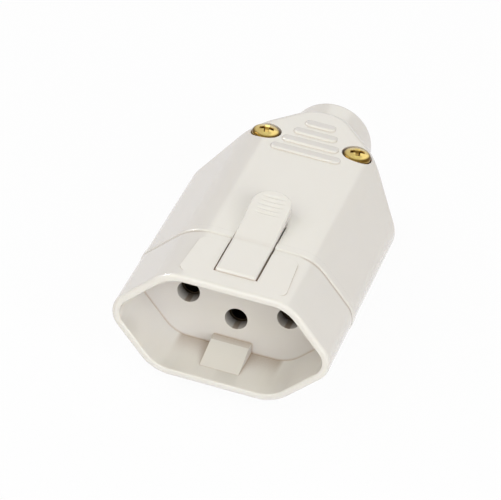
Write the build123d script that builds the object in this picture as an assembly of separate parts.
"""Rewireable cord connector: a hand-held socket for two poles and earth, 10 A size.

Millimetres. While it is built, Y runs from the front rim towards the cord and Z = 0 is the body's axis.
The finished pieces are set down with the origin under the middle of the length, level with the lower pad.
"""
from build123d import *
from math import cos, radians, sin, tan
import os

# Pin layout
pin_pitch = 19.0
earth_drop = 3.0
pin_diameter = 4.0
pin_length = 19.0
pin_hole_clearance = 0.3
pin_end_room = 0.8

# Six-sided body section, measured on the rear housing's skin
half_height = 10.6
slant_reach = 15.6
slant_angle = 45.3
side_radius = 4.4
corner_radius = 8.0

# Front piece: shroud, recess and spigot
front_length = 16.9
front_inset = 0.0
mouth_inset = 1.4
recess_depth = 12.4
face_thickness = 3.0
rim_outer_share = 0.5
rim_inner_share = 0.25
panel_height = 0.15
panel_half_front = 10.0
panel_half_rear = 9.2
panel_front = 2.0
panel_length = 13.0
panel_corner = 1.8
spigot_length = 6.0
spigot_wall = 1.4
spigot_clearance = 0.2

# Latch tongue with its thumb pad; an equal one lies underneath
latch_width = 7.6
tongue_front = 4.75
tongue_proud = 0.6
tongue_rise = 0.05
tongue_thickness = 1.5
tongue_root = 1.2
tongue_gap = 0.3
tongue_edge_radius = 0.4
tongue_front_radius = 0.55
pocket_front_depth = 0.5
pocket_rear_depth = 1.65
crease_lead = 0.45
crease_radius = 0.8
pad_length = 15.3
pad_angle = 10.3
pad_thickness = 1.6
pad_rib_count = 5
pad_rib_pitch = 1.2
pad_rib_depth = 0.16
pad_rib_margin = 2.2
pad_rib_border = 1.3
hook_width = 5.6
hook_length = 1.6
hook_depth = 0.9
hook_clearance = 0.3

# Wedge on the recess wall, under each tongue's pocket
wedge_width = 7.4
wedge_height = 2.0
wedge_draft = 0.2
wedge_ramp = 6.4
wedge_ledge = 2.0

# Rear housing
seam_gap = 0.2
housing_wall = 1.8
collar_length = 2.1
collar_height = 0.15
collar_radius = 0.5
notch_gap = 0.18
notch_length = 8.4
bridge_length = 1.8
bridge_gap = 0.15
taper_start = 33.3
taper_angle = 37.0
tip_radius = 7.3
taper_edge_radius = 1.8
neck_radius = 8.3
neck_end = 63.4
neck_edge_radius = 1.0
cord_bore_radius = 5.5
cord_lead_in = 0.8

# Grip ribs on the taper
rib_count = 4
rib_front = 35.5
rib_pitch = 3.87
rib_depth = 2.9
rib_height = 0.5
rib_longest_half = 6.9
rib_shortening = 1.28
rib_corner = 1.1
rib_edge_radius = 0.35

# Cord clamp
clamp_screw_half_pitch = 9.05
clamp_screw_edge = 5.0
screw_seat_depth = 1.9
screw_seat_radius = 2.95
screw_head_radius = 2.75
screw_head_height = 2.2
screw_head_dome = 0.8
screw_shank_radius = 1.5
screw_hole_clearance = 0.15
boss_wall = 1.6
boss_foot = 3.2
cord_seat_length = 4.0
clamp_bar_length = 5.0
clamp_bar_thickness = 4.6
clamp_bar_clearance = 0.5
clamp_screw_overrun = 0.6
clamp_screw_floor_gap = 0.6

# Contacts and terminals
contact_sheet = 0.6
contact_grip = 0.1
contact_setback = 0.3
sleeve_length = 12.0
sleeve_slit = 0.8
sleeve_pocket_clearance = 0.2
tail_width = 6.0
tail_margin = 1.0
tail_lap = 0.6
tail_pin_gap = 0.1
tail_side_clearance = 0.3
tower_floor = 1.9
tower_roof = 0.9
tower_wall_height = 2.0
clamp_plate_side = 5.4
clamp_plate_thickness = 0.9
terminal_head_radius = 2.5
terminal_head_height = 1.8
terminal_shank_radius = 1.5
terminal_shank_overrun = 1.4

# Worked-out sizes
slant = radians(slant_angle)
taper = radians(taper_angle)
pin_radius = pin_diameter / 2
pin_hole_radius = (pin_diameter + pin_hole_clearance) / 2
spigot_inset = housing_wall + spigot_clearance
front_top = half_height - front_inset
mouth_top = half_height - mouth_inset
rim_wall = mouth_inset - front_inset
face_rear = recess_depth + face_thickness
housing_front = front_length + seam_gap
total_length = housing_front + neck_end
crease_y = front_length - crease_lead
crease_z = front_top + tongue_proud + tongue_rise
bridge_top = crease_z - tongue_thickness - bridge_gap
pad_end = crease_y + pad_length
pad_end_z = crease_z + pad_length * tan(radians(pad_angle))
side_reach = slant_reach / cos(slant) - side_radius * (1 / cos(slant) - 1)
sleeve_inner = pin_radius - contact_grip
sleeve_outer = sleeve_inner + contact_sheet
tail_drop = pin_radius + tail_pin_gap
sleeve_front = face_rear + contact_setback
sleeve_rear = sleeve_front + sleeve_length
channel_front = sleeve_rear - tail_lap - contact_setback
terminal_y = recess_depth + pin_length + pin_end_room + clamp_plate_side / 2
tail_rear = terminal_y + clamp_plate_side / 2 + tail_margin
taper_tip = housing_front + taper_start + side_reach / tan(taper)
clamp_y = taper_tip - (clamp_screw_half_pitch + clamp_screw_edge) / tan(taper)
clamp_bar_bottom = half_height - housing_wall - clamp_screw_floor_gap - clamp_screw_overrun
upward = (Align.CENTER, Align.CENTER, Align.MIN)
downward = (Align.CENTER, Align.CENTER, Align.MAX)
poles = {"line": (-pin_pitch / 2, 0), "neutral": (pin_pitch / 2, 0), "earth": (0, -earth_drop)}


def hex_section(inset):
    """Six-sided section with rounded corners, the given distance inside the housing's skin."""
    top = half_height - inset
    reach = slant_reach - inset
    vertex = reach / cos(slant)
    flat = (reach - top * sin(slant)) / cos(slant)
    corners = [(vertex, 0), (flat, top), (-flat, top), (-vertex, 0), (-flat, -top), (flat, -top)]
    section = Polygon(*corners, align=None)
    section = fillet(section.vertices().filter_by(lambda v: abs(v.Y) > top / 2), corner_radius - inset)
    return fillet(section.vertices().filter_by(lambda v: abs(v.Y) < 0.01), side_radius - inset)


def along_y(section, start, end):
    """Solid with an XZ section, from one place along the body to another."""
    return Pos(0, start, 0) * extrude(Plane.XZ * section, -(end - start))


def across_x(profile, width):
    """Solid with a YZ profile, centred across the body."""
    return extrude(Plane.YZ * profile, width / 2, both=True)


def upright(outline, bottom, top):
    """Solid with an XY outline between two heights."""
    return Pos(0, 0, bottom) * extrude(outline, top - bottom)


def block(x, y, z):
    """Box between two places in each direction."""
    size = Box(x[1] - x[0], y[1] - y[0], z[1] - z[0], align=Align.MIN)
    return Pos(x[0], y[0], z[0]) * size


def rod(radius, start, end, x=0, z=0):
    """Round bar along the body."""
    return along_y(Pos(x, z) * Circle(radius), start, end)


def front_face(body):
    """The flat face nearest to the mouth."""
    return body.faces().filter_by(Axis.Y).sort_by(Axis.Y)[0]


def both_faces(feature):
    """A feature of the upper face and its mirror image on the lower face."""
    return feature + mirror(feature, about=Plane.XY)


def taper_outline(inset):
    """Plan of the wedge-shaped rear end, the given distance inside the skin, with its rounded tip."""
    tip = taper_tip - inset / sin(taper)
    wide = 1.2 * side_reach
    start = tip - wide / tan(taper)
    wedge = Polygon((-wide, 0), (wide, 0), (wide, start), (0, tip), (-wide, start), align=None)
    return fillet(wedge.vertices().sort_by(Axis.Y)[-1:], tip_radius - inset)


def tongue_top(y):
    """Height of the tongue's upper face between its front end and the crease."""
    share = (y - tongue_front) / (crease_y - tongue_front)
    return front_top + tongue_proud + tongue_rise * share


def latch():
    """Upper latch: tongue rooted at the front, rising thumb pad with fine ribs, hook behind the crease."""
    root_y = tongue_front + tongue_root
    root_z = mouth_top + (front_top - mouth_top) / 3
    profile = Polygon(
        (tongue_front, root_z),
        (tongue_front, tongue_top(tongue_front)),
        (crease_y, crease_z),
        (pad_end, pad_end_z),
        (pad_end, pad_end_z - pad_thickness),
        (crease_y, crease_z - tongue_thickness),
        (root_y, root_z),
        align=None,
    )
    profile = fillet(profile.vertices().filter_by(lambda v: abs(v.X - crease_y) < 0.01), crease_radius)
    front_corner = profile.vertices().filter_by(lambda v: v.X < tongue_front + 0.01 and v.Y > front_top)
    profile = fillet(front_corner, tongue_front_radius)
    pad_middle = pad_end - latch_width / 2
    plan = Pos(0, (tongue_front + pad_middle) / 2) * Rectangle(latch_width, pad_middle - tongue_front)
    plan += Pos(0, pad_middle) * Circle(latch_width / 2)
    body = across_x(profile, latch_width) & upright(plan, 0, 2 * half_height)
    upper_edges = body.edges().filter_by(is_upper_latch_edge)
    body = fillet(upper_edges, tongue_edge_radius)
    for step in range(pad_rib_count):
        y = pad_end - pad_rib_margin - step * pad_rib_pitch
        z = crease_z + (y - crease_y) * tan(radians(pad_angle))
        body -= Pos(0, y, z) * pad_groove()
    return body + hook()


def pad_groove():
    """Bent bar that cuts a shallow groove across a pad and runs out before the pad's sides."""
    reach = latch_width / 2 - pad_rib_border
    bar_radius = pad_rib_pitch / 2
    bend_radius = (reach**2 + pad_rib_depth**2) / (2 * pad_rib_depth) - bar_radius
    bar = Rot(90, 0, 0) * Torus(bend_radius, bar_radius)
    return Pos(0, 0, bend_radius + bar_radius - pad_rib_depth) * bar


def is_upper_latch_edge(edge):
    """True for the edges of a latch blank that bound its upper face."""
    middle = edge.center()
    if middle.Y > crease_y:
        height = crease_z + (middle.Y - crease_y) * tan(radians(pad_angle))
    else:
        height = tongue_top(middle.Y)
    inside = abs(middle.X) < latch_width / 4 and tongue_front + 0.1 < middle.Y < pad_end - 0.1
    return abs(middle.Z - height) < 0.3 and not inside


def hook():
    """Catch under the tongue, just behind the housing's bridge."""
    front = housing_front + bridge_length + hook_clearance
    upper = crease_z - tongue_thickness / 2
    tip = crease_z - tongue_thickness - hook_depth
    profile = Polygon(
        (front, upper), (front, tip), (front + hook_length / 3, tip), (front + hook_length, upper), align=None
    )
    return across_x(profile, hook_width)


def latch_pocket():
    """Slope-floored slot around the upper tongue, open to the rear."""
    profile = Polygon(
        (tongue_front, front_top - pocket_front_depth),
        (tongue_front, 2 * half_height),
        (front_length, 2 * half_height),
        (front_length, front_top - pocket_rear_depth),
        align=None,
    )
    return across_x(profile, latch_width + 2 * tongue_gap)


def recess_wedge():
    """Ramp on the recess's upper wall that gives the tongue's pocket its depth."""
    ledge_y = recess_depth - wedge_ledge
    front_y = ledge_y - wedge_ramp

    def section(height):
        lean = wedge_draft / 2 * height / wedge_height
        half = wedge_width / 2 - lean
        foot = wedge_width / 2 + lean
        embed = mouth_top + mouth_inset / 4
        points = [(-foot, embed), (-foot, mouth_top), (-half, mouth_top - height)]
        points += [(half, mouth_top - height), (foot, mouth_top), (foot, embed)]
        return Polygon(*points, align=None)

    full = section(wedge_height)
    thin = section(wedge_height / 40)
    ramp = loft([Pos(0, front_y, 0) * (Plane.XZ * thin), Pos(0, ledge_y, 0) * (Plane.XZ * full)])
    return ramp + along_y(full, ledge_y, recess_depth)


def raised_panel():
    """Very shallow plateau on the front piece's upper flat, rising from nothing near the rim."""
    rear = panel_front + panel_length
    front_corners = [(-panel_half_front, panel_front), (panel_half_front, panel_front)]
    rear_corners = [(panel_half_rear, rear), (-panel_half_rear, rear)]
    outline = Polygon(*front_corners, *rear_corners, align=None)
    outline = fillet(outline.vertices(), panel_corner)
    sunk = mouth_top + mouth_inset / 4
    low = front_top - panel_height / 8
    high = front_top + panel_height
    slope = Polygon((panel_front, sunk), (rear, sunk), (rear, high), (panel_front, low), align=None)
    return upright(outline, sunk, high) & across_x(slope, 2 * panel_half_front)


def contact_tower(x, z):
    """Sleeve housing and open terminal tray behind one pin hole, and the room to be cut from it."""
    half = pin_pitch / 4
    floor = z - tail_drop - contact_sheet
    foot = floor - tower_floor
    roof = z + sleeve_outer + sleeve_pocket_clearance + tower_roof
    sides = (x - half, x + half)
    tower = block(sides, (recess_depth + face_thickness / 2, channel_front), (foot, roof))
    tray = block(sides, (channel_front, tail_rear), (foot, floor + tower_wall_height))
    channel_half = tail_width / 2 + tail_side_clearance
    channel = block((x - channel_half, x + channel_half), (channel_front, tail_rear), (floor, roof))
    room = channel + rod(sleeve_outer + sleeve_pocket_clearance, face_rear, channel_front, x, z)
    room += rod(pin_hole_radius, recess_depth - 1, face_rear, x, z)
    relief = Cylinder(terminal_shank_radius + tail_side_clearance, 2 * tower_floor)
    room += Pos(x, terminal_y, floor - tower_floor / 2) * relief
    return tower + tray, room


def front_socket():
    """Front moulding: shroud, recess face, two latches, spigot and contact towers in one piece."""
    spigot_rear = front_length + spigot_length
    body = along_y(hex_section(front_inset), 0, front_length)
    body += along_y(hex_section(spigot_inset), front_length, spigot_rear)
    body -= along_y(hex_section(mouth_inset), 0, recess_depth)
    body -= along_y(hex_section(spigot_inset + spigot_wall), face_rear, spigot_rear)
    body = fillet(front_face(body).outer_wire().edges(), rim_outer_share * rim_wall)
    body = fillet(front_face(body).inner_wires()[0].edges(), rim_inner_share * rim_wall)
    body += both_faces(raised_panel())
    body += both_faces(recess_wedge())
    towers = [contact_tower(x, z) for x, z in poles.values()]
    for tower, room in towers:
        body += tower
    for tower, room in towers:
        body -= room
    body -= both_faces(latch_pocket())
    body += both_faces(latch())
    return body


def grip_rib(number):
    """One step-like rib: a steep front edge and a top that falls away to the rear."""
    half = rib_longest_half - number * rib_shortening
    front = housing_front + rib_front + number * rib_pitch
    outline = Pos(0, front + rib_depth / 2) * RectangleRounded(2 * half, rib_depth, rib_corner)
    sunk = half_height - housing_wall / 2
    wedge = Polygon(
        (front, sunk), (front, half_height + rib_height), (front + rib_depth, half_height),
        (front + rib_depth, sunk), align=None,
    )
    rib = upright(outline, sunk, half_height + rib_height) & across_x(wedge, 2 * half)
    return fillet(rib.faces().sort_by(Axis.Z)[-1].edges(), rib_edge_radius)


def housing_skin():
    """Outer form of the rear housing: six-sided sleeve, wedge-shaped rear end and round cord neck."""
    blank = along_y(hex_section(0), housing_front, total_length + tip_radius)
    body = blank & upright(taper_outline(0), -2 * half_height, 2 * half_height)
    cut_edges = body.edges().filter_by(is_taper_edge)
    body = fillet(cut_edges, taper_edge_radius)
    neck = rod(neck_radius, clamp_y, total_length)
    end_edge = neck.edges().filter_by_position(Axis.Y, total_length - 0.01, total_length + 0.01)
    body += fillet(end_edge, neck_edge_radius)
    collar = along_y(hex_section(-collar_height), housing_front, housing_front + collar_length)
    body += fillet(collar.edges().filter_by(is_collar_edge), collar_height)
    return fillet(front_face(body).outer_wire().edges(), collar_radius)


def is_collar_edge(edge):
    """True for the rear edge of the collar."""
    return abs(edge.center().Y - housing_front - collar_length) < 0.01


def is_taper_edge(edge):
    """True for the edges where the tapering rear faces cut the six-sided sleeve."""
    upright_line = edge.geom_type == GeomType.LINE and abs(edge.tangent_at(0.5).Z) > 0.99
    lengthwise = abs(edge.tangent_at(0.5).Y) > 0.99
    behind_start = edge.center().Y > housing_front + taper_start / 2
    return behind_start and not upright_line and not lengthwise


def latch_notch():
    """Slot in the front edge for a tongue, with a low bridge and a window behind it for the hook."""
    half = latch_width / 2 + notch_gap
    top = 2 * half_height
    inner = half_height - housing_wall
    rear = housing_front + notch_length
    slot = block((-half, half), (housing_front - 1, rear), (bridge_top, top))
    window = block((-half, half), (housing_front + bridge_length, rear), (inner - 1, top))
    return slot + window


def rear_housing():
    """Rear moulding: hollow sleeve with notches, grip ribs, screw bosses, cord seat and cord bore."""
    skin = housing_skin()
    room = along_y(hex_section(housing_wall), housing_front - 1, total_length)
    room &= upright(taper_outline(housing_wall), -2 * half_height, 2 * half_height)
    body = skin - room
    screw_hole = screw_shank_radius + screw_hole_clearance
    ceiling = half_height - housing_wall / 2
    for side in (-1, 1):
        boss = Cylinder(screw_seat_radius + boss_wall, ceiling - boss_foot, align=upward)
        body += (Pos(side * clamp_screw_half_pitch, clamp_y, boss_foot) * boss) & skin
    seat = (-cord_seat_length / 2 + clamp_y, cord_seat_length / 2 + clamp_y)
    body += block((-clamp_screw_half_pitch, clamp_screw_half_pitch), seat, (boss_foot, ceiling))
    body -= rod(cord_bore_radius, clamp_y - cord_seat_length, total_length)
    lead_in = Cone(cord_bore_radius, cord_bore_radius + cord_lead_in, cord_lead_in)
    body -= Pos(0, total_length - cord_lead_in / 2, 0) * Rot(-90, 0, 0) * lead_in
    for number in range(rib_count):
        body += grip_rib(number)
    for side in (-1, 1):
        seat_bore = Cylinder(screw_seat_radius, 2 * screw_seat_depth)
        shank_bore = Cylinder(screw_hole, 2 * (half_height - boss_foot))
        body -= Pos(side * clamp_screw_half_pitch, clamp_y, half_height) * (seat_bore + shank_bore)
    return body - both_faces(latch_notch())


def clamp_screw(side):
    """Pan-head screw of the cord clamp, head up in its seat."""
    seat = half_height - screw_seat_depth
    head = Cylinder(screw_head_radius, screw_head_height, align=upward)
    head = fillet(head.edges().sort_by(Axis.Z)[-1:], screw_head_dome)
    reach = seat + clamp_bar_bottom + clamp_screw_overrun
    shank = Cylinder(screw_shank_radius, reach, align=downward)
    return Pos(side * clamp_screw_half_pitch, clamp_y, seat) * (head + shank)


def cord_clamp_bar():
    """Bar under the cord with a round cradle and a tapped hole for each clamp screw."""
    across = (-side_reach, side_reach)
    along = (clamp_y - clamp_bar_length / 2, clamp_y + clamp_bar_length / 2)
    bar = block(across, along, (-clamp_bar_bottom, clamp_bar_thickness - clamp_bar_bottom))
    bar &= upright(taper_outline(housing_wall + clamp_bar_clearance), -half_height, half_height)
    bar &= along_y(hex_section(housing_wall + clamp_bar_clearance), along[0], along[1])
    bar -= rod(cord_bore_radius, along[0], along[1])
    hole = Cylinder(screw_shank_radius + screw_hole_clearance, 2 * half_height)
    for side in (-1, 1):
        bar -= Pos(side * clamp_screw_half_pitch, clamp_y, 0) * hole
    return bar


def contact(x, z):
    """Rolled spring sleeve with a slit, carried by a flat tail with a tapped hole."""
    ring = Circle(sleeve_outer) - Circle(sleeve_inner)
    ring -= Pos(0, sleeve_outer) * Rectangle(sleeve_slit, 2 * contact_sheet + sleeve_slit)
    sleeve = along_y(Pos(x, z) * ring, sleeve_front, sleeve_rear)
    sides = (x - tail_width / 2, x + tail_width / 2)
    tail = block(sides, (sleeve_rear - tail_lap, tail_rear), (z - tail_drop - contact_sheet, z - tail_drop))
    hole = Cylinder(terminal_shank_radius + screw_hole_clearance, 4 * sleeve_outer)
    return sleeve + (tail - Pos(x, terminal_y, z) * hole)


def clamp_plate(x, z):
    """Square plate that presses the wire on the contact's tail."""
    plate = Box(clamp_plate_side, clamp_plate_side, clamp_plate_thickness, align=upward)
    plate -= Cylinder(terminal_shank_radius + screw_hole_clearance, 4 * clamp_plate_thickness)
    return Pos(x, terminal_y, z - tail_drop) * plate


def terminal_screw(x, z):
    """Screw that draws the clamp plate down on the tail."""
    head = Cylinder(terminal_head_radius, terminal_head_height, align=upward)
    reach = clamp_plate_thickness + contact_sheet + terminal_shank_overrun
    shank = Cylinder(terminal_shank_radius, reach, align=downward)
    return Pos(x, terminal_y, z - tail_drop + clamp_plate_thickness) * (head + shank)


pieces = {
    "front_socket": front_socket(),
    "rear_housing": rear_housing(),
    "cord_clamp_bar": cord_clamp_bar(),
    "clamp_screw_left": clamp_screw(-1),
    "clamp_screw_right": clamp_screw(1),
}
for pole, (pole_x, pole_z) in poles.items():
    pieces[f"{pole}_contact"] = contact(pole_x, pole_z)
    pieces[f"{pole}_clamp_plate"] = clamp_plate(pole_x, pole_z)
    pieces[f"{pole}_terminal_screw"] = terminal_screw(pole_x, pole_z)

# The origin lies under the middle of the length, level with the lowest point of the lower thumb pad.
set_down = Pos(0, -total_length / 2, -pieces["front_socket"].bounding_box().min.Z)
os.makedirs("parts", exist_ok=True)
for name, piece in pieces.items():
    export_step(set_down * piece, f"parts/{name}.step")
